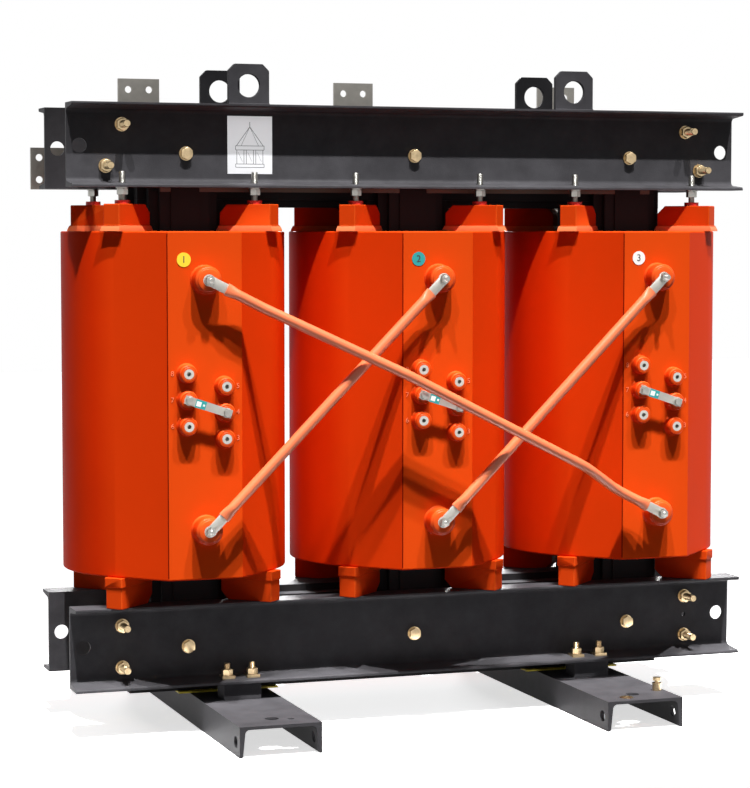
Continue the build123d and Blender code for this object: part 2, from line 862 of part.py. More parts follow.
def make_link_pieces(name, start, end, bowed):
    """A tinned copper rod with flattened ends, and the insulating sleeve over it."""
    plane, length = link_frame(start, end)
    tilt = radians(link_bow_tilt)
    bow_direction = plane.z_dir * cos(tilt) + plane.y_dir * sin(tilt)
    path_plane = Plane(
        origin=plane.origin,
        x_dir=plane.x_dir,
        z_dir=plane.x_dir.cross(bow_direction),
    )
    lug_middle = (link_lug_length - link_lug_overhang) / 2
    with BuildPart() as bar:
        for reach in (lug_middle, length - lug_middle):
            with BuildSketch(plane.offset(-link_lug_thickness / 2)):
                with Locations((reach, 0)):
                    Rectangle(link_lug_length + link_lug_overhang, link_lug_width)
                with Locations((0, 0), (length, 0)):
                    Circle(terminal_bolt_radius + link_hole_clearance, mode=Mode.SUBTRACT)
            extrude(amount=link_lug_thickness)
        add_link_tube(path_plane, length, bowed, link_lug_length - link_overlap, link_rod_radius, 0)
    save(bar, f"{name}_bar")
    with BuildPart() as sleeve:
        sleeve_radius = link_rod_radius + link_sleeve_wall
        add_link_tube(path_plane, length, bowed, link_lug_length, sleeve_radius, link_rod_radius)
    save(sleeve, f"{name}_sleeve")


def add_link_tube(path_plane, length, bowed, margin, radius, inner_radius):
    """Sweep a round section along a link's centre line."""
    points = link_path_points(length, bowed, margin)
    with BuildLine(path_plane) as path:
        if bowed:
            FilletPolyline(*points, radius=link_bend_radius)
        else:
            Line(*points)
    start = path_plane.from_local_coords(Vector(margin, 0))
    with BuildSketch(Plane(origin=start, z_dir=path_plane.x_dir)) as section:
        Circle(radius)
        if inner_radius > 0:
            Circle(inner_radius, mode=Mode.SUBTRACT)
    sweep(section.sketch, path=path.line)


def make_delta_links():
    top, bottom = terminal_height_top, terminal_height_bottom
    make_link_pieces("link_a_to_c", (phases["a"], top), (phases["c"], bottom), True)
    make_link_pieces("link_b_to_a", (phases["b"], top), (phases["a"], bottom), False)
    make_link_pieces("link_c_to_b", (phases["c"], top), (phases["b"], bottom), False)


def add_bent_bar(x, width, points, thickness, bend):
    """A flat bar bent in the YZ plane around rounded corners."""
    with BuildSketch(Plane.YZ.offset(x - width / 2)) as section:
        with BuildLine() as centre:
            FilletPolyline(*points, radius=bend)
        trace(centre.line, line_width=thickness)
    extrude(section.sketch, amount=width)


def make_lv_bar(name, x):
    run_height = coil_top + lv_bar_run_rise
    top = top_beam_top + lv_bar_top_rise
    points = [
        (lv_bar_start_y, coil_top),
        (lv_bar_start_y, run_height),
        (lv_bar_plate_y, run_height),
        (lv_bar_plate_y, top),
    ]
    hole_height = top - lv_hole_drop
    with BuildPart() as bar:
        add_bent_bar(x, lv_bar_width, points, lv_bar_thickness, lv_bar_bend)
        cut_through_y([(x + s * lv_hole_spacing / 2, hole_height) for s in (-1, 1)], lv_hole_radius)
    save(bar, name)


def make_neutral():
    center_height = top_beam_base + neutral_bar_rise
    run_height = coil_top + neutral_run_rise
    riser_y = neutral_bar_y + lv_bar_thickness
    right_end = phase_pitch + neutral_riser_offset + neutral_riser_width / 2
    left_end = -beam_length / 2
    hole_x = left_end + neutral_hole_inset
    with BuildPart() as bar:
        with Locations(((left_end + right_end) / 2, neutral_bar_y, center_height)):
            Box(right_end - left_end, lv_bar_thickness, neutral_bar_height)
        holes = [(hole_x, center_height + s * neutral_hole_spacing / 2) for s in (-1, 1)]
        cut_through_y(holes, lv_hole_radius)
    save(bar, "neutral_bar")
    points = [
        (lv_bar_start_y, coil_top),
        (lv_bar_start_y, run_height),
        (riser_y, run_height),
        (riser_y, center_height + neutral_bar_height / 2),
    ]
    with BuildPart() as risers:
        for x in phases.values():
            center = x + neutral_riser_offset
            add_bent_bar(center, neutral_riser_width, points, lv_bar_thickness, lv_bar_bend)
    save(risers, "neutral_risers")


def make_markers():
    label_height = channel_height - label_rise - label_top_gap
    with BuildPart() as label:
        with Locations((label_x, -web_face_y, top_beam_base + label_rise)):
            Box(
                label_width,
                label_thickness,
                label_height,
                align=(Align.CENTER, Align.MAX, Align.MIN),
            )
    save(label, "label_plate")
    for phase, x in phases.items():
        place = (x + disc_x, coil_top - disc_drop)
        name = f"phase_disc_{phase}"
        make_round_set(name, front_plane(-panel_depth), [place], disc_radius, disc_thickness)


def make_all():
    for word, side in sides.items():
        make_top_beam(f"top_beam_{word}", side)
        make_bottom_beam(f"bottom_beam_{word}", side)
    make_foot("foot_left", -foot_spacing / 2, aux_hole_x, aux_hole_inset, aux_hole_radius)
    make_foot("foot_right", foot_spacing / 2, roller_hole_x, roller_hole_inset, pivot_hole_radius)
    make_foot_blocks()
    make_yoke_pads()
    make_yoke("core_bottom_yoke", bottom_yoke_height)
    make_yoke("core_top_yoke", top_yoke_height)
    for phase, x in phases.items():
        make_limb(f"core_limb_{phase}", x)
        make_lv_coil(f"lv_coil_{phase}", x)
        make_hv_coil(f"hv_coil_{phase}", x)
        make_lv_bar(f"lv_bar_{phase}", x)
    make_block_set("top_blocks", coil_top, 1, coil_top + top_block_height)
    make_block_set("bottom_blocks", coil_bottom, -1, bottom_beam_top)
    make_tie_plates()
    make_clamp_strips()
    make_inserts(
        "terminal_inserts",
        [(x, z) for x in phases.values() for z in (terminal_height_bottom, terminal_height_top)],
        terminal_insert_radius,
        terminal_bolt_radius + thread_clearance,
        insert_face_y,
        terminal_insert_depth,
        terminal_thread_depth,
    )
    make_inserts(
        "tap_inserts",
        [(x + tap, z) for x in phases.values() for tap, z in tap_places],
        tap_insert_radius,
        tap_bolt_radius + thread_clearance,
        tap_face_y,
        tap_insert_depth,
        tap_thread_depth,
    )
    make_jacks()
    make_beam_washers()
    make_clamp_studs()
    make_tie_bolts()
    make_foot_bolts()
    make_ship_bolt()
    make_lifting_lugs()
    make_terminal_fasteners()
    make_tap_links()
    make_delta_links()
    make_neutral()
    make_markers()


make_all()
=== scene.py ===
"""Looks of the three-phase dry type transformer: finishes, small hardware, light and camera.

Metres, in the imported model's own frame: +Z up, front towards -Y, X along the clamp beams.
"""

import json
from math import cos, pi, radians, sin, tan

import bmesh
import bpy
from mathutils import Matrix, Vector


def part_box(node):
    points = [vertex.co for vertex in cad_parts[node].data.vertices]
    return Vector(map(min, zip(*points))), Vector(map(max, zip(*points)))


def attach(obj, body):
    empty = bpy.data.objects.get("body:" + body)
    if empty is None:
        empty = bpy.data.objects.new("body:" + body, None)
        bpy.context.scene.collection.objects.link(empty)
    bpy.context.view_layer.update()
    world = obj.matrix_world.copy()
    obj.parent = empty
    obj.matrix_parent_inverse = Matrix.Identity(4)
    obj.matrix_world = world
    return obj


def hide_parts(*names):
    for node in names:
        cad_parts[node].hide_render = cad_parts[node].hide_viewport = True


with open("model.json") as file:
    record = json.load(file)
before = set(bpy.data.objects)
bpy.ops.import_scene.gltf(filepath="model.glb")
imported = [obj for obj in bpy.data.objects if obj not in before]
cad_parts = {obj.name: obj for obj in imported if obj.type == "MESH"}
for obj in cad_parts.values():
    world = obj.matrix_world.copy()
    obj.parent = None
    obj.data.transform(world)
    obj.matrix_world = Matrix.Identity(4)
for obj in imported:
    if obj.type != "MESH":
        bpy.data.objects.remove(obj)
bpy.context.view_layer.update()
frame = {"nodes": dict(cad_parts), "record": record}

MM = 0.001
FRONT = Vector((0, -1, 0))
UP = Vector((0, 0, 1))


def in_metres(points):
    """Pairs given in millimetres, as pairs in metres."""
    return [(first * MM, second * MM) for first, second in points]


# Camera: place, turn and tilt in degrees, lens in millimetres
camera_place = Vector((-2.096, -5.876, 1.214))
camera_yaw = 19.12
camera_pitch = 3.8
camera_lens = 111.7
camera_clip_end = 100.0

# A row of spot lamps, one phase pitch apart, above and in front of the coils
spots = 5
spot_height = 3.4
spot_reach = 1.25
spot_aim = Vector((0, -0.30, 0.95))
spot_power = 58.0
spot_cone = 37.0
spot_radius = 0.025
spot_blend = 1.0

# Suns, as (towards the sun, strength, angle in degrees), and the world
suns = {
    "front_sun": (Vector((-0.03, -1.0, 2.7)), 0.5, 3.0),
    "rear_sun": (Vector((0.35, 1.0, 0.15)), 2.6, 12.0),
}
sun_distance = 3.0
ambient_level = 0.13
ambient_color = (0.95, 0.97, 1.0, 1)

# Floor: its grey for light on the object, and its diffuse and glowing parts as it is seen
floor_size = 30.0
floor_grey = (0.22, 0.22, 0.22, 1)
floor_seen_grey = (1.3, 1.3, 1.3, 1)
floor_roughness = 0.9
floor_glow = 0.66
white = (1, 1, 1, 1)

# Painted light: directions in which a finish shows its lighter, lit tone, and the turn from its
# shaded tone to the lit one
resin_lit_way = (0.0, -0.85, 0.53)
core_lit_way = (0.0, 0.0, 1.0)
painted_light_start = 0.45
painted_light_end = 0.9

# Rounded edges: their width and the nodes that have them
softened = {
    2.8 * MM: ("top_beam_front", "top_beam_rear", "bottom_beam_front", "bottom_beam_rear"),
    1.6 * MM: ("foot_left", "foot_right", "foot_blocks", "lifting_lugs"),
    1.2 * MM: ("core_limb_a", "core_limb_b", "core_limb_c", "core_bottom_yoke"),
    3.0 * MM: ("top_blocks", "bottom_blocks"),
    2.5 * MM: ("hv_coil_a", "hv_coil_b", "hv_coil_c"),
}
softened_angle = 40.0
weld_distance = 0.01 * MM

# Hexagons, threads, washers and shanks
circle_steps = 48
shank_steps = 24
hex_chamfer_angle = 30.0
hex_face_share = 0.96
m12_pitch = 1.75 * MM
m16_pitch = 2.0 * MM
thread_depth = 0.7 * MM
thread_chamfer = 1.2 * MM
# Shares of one turn: where its crest starts, and from there to the root and to the crest's end
thread_start, thread_root, thread_crest = 0.1, 0.45, 0.85
long_bolt_excess = 1.0 * MM
nut_flats = {"clamp_nuts": 27.0 * MM, "jack_nuts": 24.0 * MM, "foot_bolt_nuts": 24.0 * MM}
foot_head_height = 8.0 * MM
tie_shank_radius = 9.0 * MM
terminal_shank_radius = 6.0 * MM
terminal_head_flats = 19.0 * MM
tap_shank_radius = 4.9 * MM
tap_head_flats = 16.6 * MM
small_washer_radius = 9.6 * MM
spring_washer_height = 2.0 * MM
tap_washer_height = 1.0 * MM
bolt_end_profile = in_metres([(5.4, -1.0), (5.4, 1.5), (4.0, 2.6)])
spare_nut_place = (433.0 * MM, -466.0 * MM)
spare_nut_flats = 30.0 * MM
spare_nut_height = 8.0 * MM
spare_nut_bore = 8.0 * MM
spare_nut_sink = 6.0 * MM

# Cast bosses, as (radius, distance from the panel) in millimetres, with the bore for the insert
boss_profiles = {
    "terminal_inserts": in_metres([
        (37, -0.5), (34.5, 0.8), (33.4, 3.5), (33.2, 30), (32.4, 33.4), (30.4, 35.6), (27.6, 36.6),
        (26.6, 38.3), (25.2, 39.0), (14.1, 39.0), (14.1, 30),
    ]),
    "tap_inserts": in_metres([
        (25.5, -0.5), (23.6, 0.6), (22.6, 2.5), (22.2, 17.5), (21.4, 20.2), (19.5, 22.2),
        (17.2, 22.8), (16.4, 23.6), (16.2, 25.0), (15.4, 25.6), (11.9, 25.6), (11.9, 20),
    ]),
}

# Dark strips of painted shade along the panels' left edges, and the bands at the blocks' seats, as
# (rise, growth) in millimetres; the outline of a seat drops corners that turn less than the bend
# and keeps so many decimals
panel_x = 90.0 * MM
painted_shade_facing = Vector((-0.711, -0.703, 0))
painted_shade_slope = Vector((-0.703, 0.711, 0))
painted_shade_rise = 0.15 * MM
painted_shade_width = 3.0 * MM
painted_shade_depth = 1.0 * MM
painted_shade_end_gap = 6.0 * MM
band_profile = in_metres([(0.0, 4.76), (4.0, 4.2), (13.0, -0.56), (13.5, -2.1)])
seat_margin = 1.0 * MM
seat_tolerance = 0.1 * MM
outline_bend = 1e-9
outline_digits = 5

# Delta links; the bow's shares say where it starts, is full, and ends along the link
lug_half_width = 12.0 * MM
lug_length = 46.0 * MM
lug_inside_sleeve = 14.0 * MM
lug_thickness = 5.0 * MM
lug_edge = 0.4 * MM
lug_face_share = 0.97
lug_arc_steps = 12
depth_of_lugs = -341.5 * MM
sleeve_radius = 12.5 * MM
sleeve_points = 28
sleeve_flare_length = 34.0 * MM
sleeve_flare_half_width = 15.5 * MM
sleeve_flare_half_depth = 6.0 * MM
link_bow = 46.0 * MM
bow_tilt = 13.7
bow_shares = (0.11, 0.40, 0.80, 0.89)
bend_radius = 150.0 * MM
route_spacing = 6.0 * MM

# Numbers: size, thickness, and how far their middle stands in front of the face
phase_digit_size, phase_digit_thickness, phase_digit_rise = 24.0 * MM, 0.6 * MM, 0.2 * MM
tap_digit_size, tap_digit_thickness, tap_digit_rise = 17.0 * MM, 1.2 * MM, 0.4 * MM
tap_digits = "876543"
digit_offset = 34.0 * MM
disc_slots = {"a": "disc_yellow", "b": "disc_teal", "c": "disc_white"}

# Tap link stickers: back along the link from its middle, length, width and thickness
tap_link_width = 20.0 * MM
sticker_sizes = [
    ("tap_stickers", 20.0 * MM, 26.0 * MM, 20.2 * MM, 0.6 * MM),
    ("tap_sticker_squares", 25.0 * MM, 12.0 * MM, 12.0 * MM, 1.0 * MM),
    ("tap_sticker_squares", 12.0 * MM, 5.0 * MM, 5.0 * MM, 1.0 * MM),
]

# Line sketch on the white plate: line widths, thickness and lift, and heights and half widths
# about the middle of the plate in millimetres
sketch_line = 1.1 * MM
sketch_thin_line = 0.7 * MM
sketch_hair_line = 0.5 * MM
sketch_thickness = 0.4 * MM
sketch_rise = 0.1 * MM
sketch_hook, sketch_rope_end = 56, 44
sketch_lid = (-2, -12)
sketch_base = (-46, -54)
sketch_half_width = 36
sketch_rope_reach = (34, 22)
sketch_coils = (-24, 0, 24)
sketch_coil_half_width = 9
sketch_slash_half_width = 5
sketch_slash = (-18, -40)

# Weld beads
weld_radius = 5.0 * MM
weld_ripple = 4.0 * MM
weld_swell = 0.12
weld_points = 10


def new_material(name):
    """An empty node material, with its node tree and its shader."""
    material = bpy.data.materials.new(name)
    material.use_nodes = True
    tree = material.node_tree
    shader = tree.nodes["Principled BSDF"]
    return material, tree, shader


def add_node(tree, kind, **inputs):
    """A shader node with its named inputs set or linked."""
    node = tree.nodes.new(kind)
    for name, value in inputs.items():
        socket = node.inputs[name.replace("_", " ")]
        if isinstance(value, bpy.types.NodeSocket):
            tree.links.new(value, socket)
        else:
            socket.default_value = value
    return node


def shade(color, factor):
    """A colour made darker or lighter, with full opacity."""
    return tuple(min(1.0, channel * factor) for channel in color[:3]) + (1.0,)


def finish_material(name, color, roughness, metallic=0.0, mottle=0.12, mottle_scale=9.0,
                    grain=0.0003, grain_scale=700.0, coat=0.0, specular=0.5):
    """A painted, cast or metal finish: uneven colour and gloss, and a fine grain."""
    material, tree, shader = new_material(name)
    place = tree.nodes.new("ShaderNodeTexCoord").outputs["Object"]
    blotch = add_node(tree, "ShaderNodeTexNoise", Vector=place, Scale=mottle_scale, Detail=8.0,
                      Roughness=0.62)
    ramp = add_node(tree, "ShaderNodeValToRGB", Fac=blotch.outputs["Fac"])
    low, high = ramp.color_ramp.elements
    low.position, low.color = 0.3, shade(color, 1 - mottle)
    high.position, high.color = 0.72, shade(color, 1 + mottle)
    tree.links.new(ramp.outputs["Color"], shader.inputs["Base Color"])
    gloss = add_node(tree, "ShaderNodeMapRange", Value=blotch.outputs["Fac"],
                     To_Min=roughness * 0.85, To_Max=min(1.0, roughness * 1.15))
    tree.links.new(gloss.outputs["Result"], shader.inputs["Roughness"])
    shader.inputs["Metallic"].default_value = metallic
    shader.inputs["Specular IOR Level"].default_value = specular
    shader.inputs["Coat Weight"].default_value = coat
    shader.inputs["Coat Roughness"].default_value = 0.15
    fine = add_node(tree, "ShaderNodeTexNoise", Vector=place, Scale=grain_scale, Detail=3.0)
    bump = add_node(tree, "ShaderNodeBump", Strength=0.5, Distance=grain,
                    Height=fine.outputs["Fac"])
    tree.links.new(bump.outputs["Normal"], shader.inputs["Normal"])
    return material


def two_tone_material(name, deep, bright, roughness, specular=0.08, lit_way=resin_lit_way):
    """A finish with painted light: its colour turns from the deep, shaded tone to the lighter,
    bright tone where a face looks the lit way.
    """
    material = finish_material(name, deep, roughness, mottle=0.05, mottle_scale=5.0, grain=0.0004,
                               grain_scale=260.0, specular=specular)
    tree = material.node_tree
    shader = tree.nodes["Principled BSDF"]
    # Painted light: how far the face turns the lit way sets how much of the lighter tone is mixed
    # in
    normal = tree.nodes.new("ShaderNodeNewGeometry").outputs["Normal"]
    facing = add_node(tree, "ShaderNodeVectorMath")
    facing.operation = "DOT_PRODUCT"
    tree.links.new(normal, facing.inputs[0])
    facing.inputs[1].default_value = lit_way
    share = add_node(tree, "ShaderNodeMapRange", Value=facing.outputs["Value"],
                     From_Min=painted_light_start, From_Max=painted_light_end)
    mottled = shader.inputs["Base Color"].links[0].from_socket
    painted_light_mix = tree.nodes.new("ShaderNodeMix")
    painted_light_mix.data_type = "RGBA"
    tree.links.new(share.outputs["Result"], painted_light_mix.inputs["Factor"])
    tree.links.new(mottled, painted_light_mix.inputs["A"])
    painted_light_mix.inputs["B"].default_value = bright
    tree.links.new(painted_light_mix.outputs["Result"], shader.inputs["Base Color"])
    return material


materials = {
    "frame_paint": finish_material("frame_paint", (0.060, 0.058, 0.063), 0.5, mottle=0.22,
                                   mottle_scale=14.0, grain=0.0008, grain_scale=420.0,
                                   specular=0.06),
    # Painted light: the core steel turns a lighter grey where a face looks upward
    "core_steel": two_tone_material("core_steel", (0.018, 0.017, 0.018), (0.09, 0.09, 0.095, 1),
                                    0.6, lit_way=core_lit_way),
    "clamp_strip": finish_material("clamp_strip", (0.10, 0.055, 0.035), 0.6),
    "yoke_pad": finish_material("yoke_pad", (0.80, 0.62, 0.05), 0.5),
    # Painted light: the coil resin turns lighter and more orange where it looks up and to the
    # front
    "hv_resin": two_tone_material("hv_resin", (0.60, 0.025, 0.001), (0.62, 0.060, 0.005, 1),
                                  0.45, 0.015),
    # Painted light: the bosses get the same lighter tone on faces that look up and to the front
    "boss_resin": two_tone_material("boss_resin", (0.60, 0.036, 0.003), (0.68, 0.085, 0.012, 1),
                                    0.3, 0.10),
    # Painted light: a lighter copy of the block resin for the band at the blocks' seats, lighter
    # still where it faces up and to the front
    "band_resin_painted_light": two_tone_material("band_resin_painted_light", (0.78, 0.13, 0.035), (0.86, 0.22, 0.09, 1),
                                    0.35, 0.1),
    # Painted light: the LV and block resins turn lighter where a face looks up and to the front
    "lv_resin": two_tone_material("lv_resin", (0.42, 0.020, 0.006), (0.5, 0.04, 0.01, 1), 0.5),
    "block_resin": two_tone_material("block_resin", (0.58, 0.038, 0.002), (0.56, 0.066, 0.008, 1),
                                     0.4, 0.02),
    "jack_rubber": finish_material("jack_rubber", (0.50, 0.014, 0.006), 0.5),
    "zinc": finish_material("zinc", (0.40, 0.39, 0.36), 0.32, metallic=1.0, mottle=0.15,
                            mottle_scale=60.0),
    "yellow_zinc": finish_material("yellow_zinc", (0.54, 0.41, 0.24), 0.33, metallic=1.0,
                                   mottle=0.25, mottle_scale=80.0),
    "tinned_copper": finish_material("tinned_copper", (0.43, 0.41, 0.37), 0.42, metallic=0.6,
                                     mottle=0.12, mottle_scale=30.0),
    "insert_metal": finish_material("insert_metal", (0.54, 0.52, 0.48), 0.4, metallic=0.4,
                                    mottle=0.1, mottle_scale=60.0),
    "link_sleeve": finish_material("link_sleeve", (0.76, 0.17, 0.060), 0.36, mottle=0.05,
                                   coat=0.25),
    "label": finish_material("label", (0.82, 0.82, 0.84), 0.5, metallic=0.75, mottle=0.03),
    "disc_yellow": finish_material("disc_yellow", (0.85, 0.60, 0.03), 0.35, mottle=0.04),
    "disc_teal": finish_material("disc_teal", (0.02, 0.30, 0.30), 0.35, mottle=0.04),
    "disc_white": finish_material("disc_white", (0.80, 0.80, 0.77), 0.35, mottle=0.04),
    # Painted highlight: the raised digits are paler than the coil resin they are cast in, and
    # lighter still on faces that look up and to the front
    "digit_resin_painted_highlight": two_tone_material("digit_resin_painted_highlight", (0.80, 0.16, 0.06), (0.88, 0.22, 0.10, 1),
                                      0.35),
    # Painted shade: a darkened copy of the coil resin for the dark line along each panel's left
    # edge
    "painted_edge_shade": finish_material("painted_edge_shade", (0.16, 0.005, 0.001), 0.7, mottle=0.05, specular=0.02),
    "ink": finish_material("ink", (0.03, 0.03, 0.034), 0.5, mottle=0.05),
}
slot_of = {part["node"]: part["material_slot"] for part in frame["record"]["subparts"]}


def dress(obj, name, slot=None):
    """Give an object one finish."""
    obj.data.materials.clear()
    obj.data.materials.append(materials[name])
    slot or name


for node_name, node in frame["nodes"].items():
    dress(node, slot_of[node_name])


def soften_edges(node_name, width):
    """Small rounded edges that catch the light, without changing the body."""
    node = frame["nodes"][node_name]
    weld = node.modifiers.new("weld", "WELD")
    weld.merge_threshold = weld_distance
    bevel = node.modifiers.new("bevel", "BEVEL")
    bevel.width = width
    bevel.segments = 2
    bevel.limit_method = "ANGLE"
    bevel.angle_limit = radians(softened_angle)
    bevel.harden_normals = True


for width, node_names in softened.items():
    for node_name in node_names:
        soften_edges(node_name, width)


def solids(node_name):
    """Lowest and highest corner of each separate solid of a CAD node."""
    mesh = bmesh.new()
    mesh.from_mesh(frame["nodes"][node_name].data)
    bmesh.ops.remove_doubles(mesh, verts=mesh.verts, dist=weld_distance)
    left = set(mesh.verts)
    found = []
    while left:
        fresh = [left.pop()]
        group = list(fresh)
        while fresh:
            vert = fresh.pop()
            for edge in vert.link_edges:
                other = edge.other_vert(vert)
                if other in left:
                    left.remove(other)
                    fresh.append(other)
                    group.append(other)
        places = [vert.co for vert in group]
        low = Vector([min(place[axis] for place in places) for axis in range(3)])
        high = Vector([max(place[axis] for place in places) for axis in range(3)])
        found.append((low, high))
    mesh.free()
    return found


class Piece:
    """Collects rings and plain faces into one mesh object that rides on the body."""

    def __init__(self, name, finish, slot=None, smooth=35.0):
        self.name = name
        self.finish = finish
        self.slot = slot
        self.smooth = smooth
        self.verts = []
        self.faces = []

    def loft(self, rings, closed_ends=True, closed_loop=False):
        """Join rings of equally many points with quads."""
        base = len(self.verts)
        count = len(rings[0])
        for ring in rings:
            self.verts.extend(tuple(point) for point in ring)
        pairs = [(i, i + 1) for i in range(len(rings) - 1)]
        if closed_loop:
            pairs.append((len(rings) - 1, 0))
        for low, high in pairs:
            for step in range(count):
                after = (step + 1) % count
                self.faces.append((base + low * count + step, base + low * count + after,
                                   base + high * count + after, base + high * count + step))
        if closed_ends and not closed_loop:
            last = base + (len(rings) - 1) * count
            self.faces.append(tuple(base + step for step in reversed(range(count))))
            self.faces.append(tuple(last + step for step in range(count)))

    def lathe(self, center, axis, profile, steps=circle_steps, closed_loop=False):
        """Turn (radius, height) points about an axis through the centre."""
        turn = axis.to_track_quat("Z", "Y").to_matrix()
        angles = [2 * pi * step / steps for step in range(steps)]
        rings = [
            [center + turn @ Vector((radius * cos(a), radius * sin(a), height)) for a in angles]
            for radius, height in profile
        ]
        self.loft(rings, closed_loop=closed_loop)

    def rod(self, center, axis, radius, start, end, steps=shank_steps):
        """A plain round rod between two heights along an axis."""
        self.lathe(center, axis, [(radius, start), (radius, end)], steps)

    def hexagon(self, center, axis, flats, height, bore=0.0):
        """A nut or bolt head on its seat at the centre, with chamfered corners."""
        turn = axis.to_track_quat("Z", "Y").to_matrix()
        inner = flats / 2
        face = inner * hex_face_share
        slope = tan(radians(hex_chamfer_angle))
        outer_low, outer_high, circle_low, circle_high = [], [], [], []
        bore_low, bore_high = [], []
        for step in range(circle_steps):
            angle = 2 * pi * step / circle_steps
            from_flat = (angle + pi / 6) % (pi / 3) - pi / 6
            radius = inner / cos(from_flat)
            drop = (radius - face) * slope
            ray = Vector((cos(angle), sin(angle), 0))
            outer_low.append(ray * radius + UP * drop / 2)
            outer_high.append(ray * radius + UP * (height - drop))
            circle_low.append(ray * face)
            circle_high.append(ray * face + UP * height)
            bore_low.append(ray * bore)
            bore_high.append(ray * bore + UP * height)
        rings = [circle_low, outer_low, outer_high, circle_high]
        if bore > 0:
            rings = [bore_low] + rings + [bore_high]
        rings = [[center + turn @ point for point in ring] for ring in rings]
        self.loft(rings, closed_ends=bore == 0, closed_loop=bore > 0)

    def thread(self, center, axis, radius, length, pitch):
        """A threaded rod's visible length from its foot, ending in a chamfer."""
        profile = [(radius, 0.0)]
        turns = int((length - thread_chamfer) / pitch)
        for turn in range(turns):
            start = (turn + thread_start) * pitch
            profile.append((radius, start))
            profile.append((radius - thread_depth, start + pitch * thread_root))
            profile.append((radius, start + pitch * thread_crest))
        profile.append((radius - thread_chamfer, length))
        self.lathe(center, axis, profile, steps=shank_steps)

    def make(self, *replaced):
        """Put the piece on the body, in place of any CAD nodes named here."""
        mesh = bpy.data.meshes.new(self.name)
        mesh.from_pydata(self.verts, [], self.faces)
        work = bmesh.new()
        work.from_mesh(mesh)
        bmesh.ops.recalc_face_normals(work, faces=work.faces)
        work.to_mesh(mesh)
        work.free()
        mesh.shade_smooth()
        mesh.set_sharp_from_angle(angle=radians(self.smooth))
        obj = bpy.data.objects.new(self.name, mesh)
        bpy.context.scene.collection.objects.link(obj)
        dress(obj, self.finish, self.slot)
        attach(obj, "root")
        if replaced:
            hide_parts(*replaced)


def middle(box):
    """Centre of a box given by its lowest and highest corner."""
    return (box[0] + box[1]) / 2


def half_width(box):
    """Half of a box's width along X."""
    return (box[1].x - box[0].x) / 2


def root_of(box):
    """The point of the plane y = 0 that a box lies in front of or behind."""
    center = middle(box)
    return Vector((center.x, 0, center.z))


def foot_of(box):
    """Middle of a box's underside."""
    center = middle(box)
    return Vector((center.x, center.y, box[0].z))


# Places of the pieces that the details belong to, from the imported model; the faces are
# distances from the plane y = 0
web_face = -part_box("label_plate")[1].y
washer_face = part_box("beam_washers")[1].y
panel_face = -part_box("phase_disc_a")[1].y
coil_low, coil_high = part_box("hv_coil_b")
phase_x = [middle(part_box(f"hv_coil_{phase}")).x for phase in "abc"]


def outward_y(center):
    """Away from the plane y = 0."""
    return Vector((0, 1 if center.y > 0 else -1, 0))


def upward(center):
    """Up, wherever the nut is."""
    return UP


def make_nuts(name, finish, node_name, outward, bore):
    """Chamfered nuts in place of a CAD node's plain ones."""
    nuts = Piece(name, finish)
    for low, high in solids(node_name):
        center = middle((low, high))
        axis = outward(center)
        reach = abs((high - low).dot(axis))
        nuts.hexagon(center - axis * (reach / 2), axis, nut_flats[node_name], reach, bore)
    nuts.make(node_name)


def make_frame_hardware():
    """Threaded studs, chamfered nuts and bolt heads in place of the CAD model's plain ones."""
    studs = Piece("threaded_clamp_studs", "yellow_zinc")
    for low, high in solids("clamp_studs"):
        root = root_of((low, high))
        clamp_radius = half_width((low, high))
        for axis in (FRONT, -FRONT):
            studs.thread(root + axis * web_face, axis, clamp_radius, high.y - web_face, m16_pitch)
        studs.rod(middle((low, high)), -FRONT, clamp_radius - thread_depth, -web_face, web_face)
    studs.make("clamp_studs")
    make_nuts("clamp_hexagon_nuts", "yellow_zinc", "clamp_nuts", outward_y, clamp_radius)

    jacks = Piece("threaded_jack_studs", "zinc")
    for low, high in solids("jack_studs"):
        m16_radius = half_width((low, high))
        jacks.thread(foot_of((low, high)), UP, m16_radius, high.z - low.z, m16_pitch)
    jacks.make("jack_studs")
    make_nuts("jack_hexagon_nuts", "zinc", "jack_nuts", upward, m16_radius)

    bolts = Piece("threaded_foot_bolts", "yellow_zinc")
    for low, high in solids("foot_bolts"):
        seat = foot_of((low, high)) + UP * foot_head_height
        bolts.hexagon(seat, -UP, nut_flats["foot_bolt_nuts"], foot_head_height)
        bolts.thread(seat, UP, m16_radius, high.z - low.z - foot_head_height, m16_pitch)
    bolts.make("foot_bolts")
    make_nuts("foot_hexagon_nuts", "yellow_zinc", "foot_bolt_nuts", upward, m16_radius)

    heads = Piece("tie_hexagon_bolts", "yellow_zinc")
    for low, high in solids("tie_bolts"):
        root = root_of((low, high))
        axis = outward_y(middle((low, high)))
        inner, tip = sorted((abs(low.y), abs(high.y)))
        heads.hexagon(root + axis * washer_face, axis, nut_flats["clamp_nuts"], tip - washer_face)
        heads.rod(root, axis, tie_shank_radius, inner, washer_face)
    heads.make("tie_bolts")


def make_spare_nut():
    """A nut that lies in the front roller hole of the right foot."""
    nut = Piece("spare_roller_nut", "yellow_zinc")
    seat = Vector((*spare_nut_place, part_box("foot_right")[1].z - spare_nut_sink))
    nut.hexagon(seat, UP, spare_nut_flats, spare_nut_height, spare_nut_bore)
    nut.make()


def add_bolt(piece, root, shank_radius, back, seat, washer_height, flats, top):
    """A shank from the back to its seat, a washer on the seat, and a hexagon up to the top."""
    hexagon_base = seat + washer_height
    piece.rod(root, FRONT, shank_radius, back, seat)
    piece.rod(root, FRONT, small_washer_radius, seat, hexagon_base, circle_steps)
    piece.hexagon(root + FRONT * hexagon_base, FRONT, flats, top - hexagon_base)


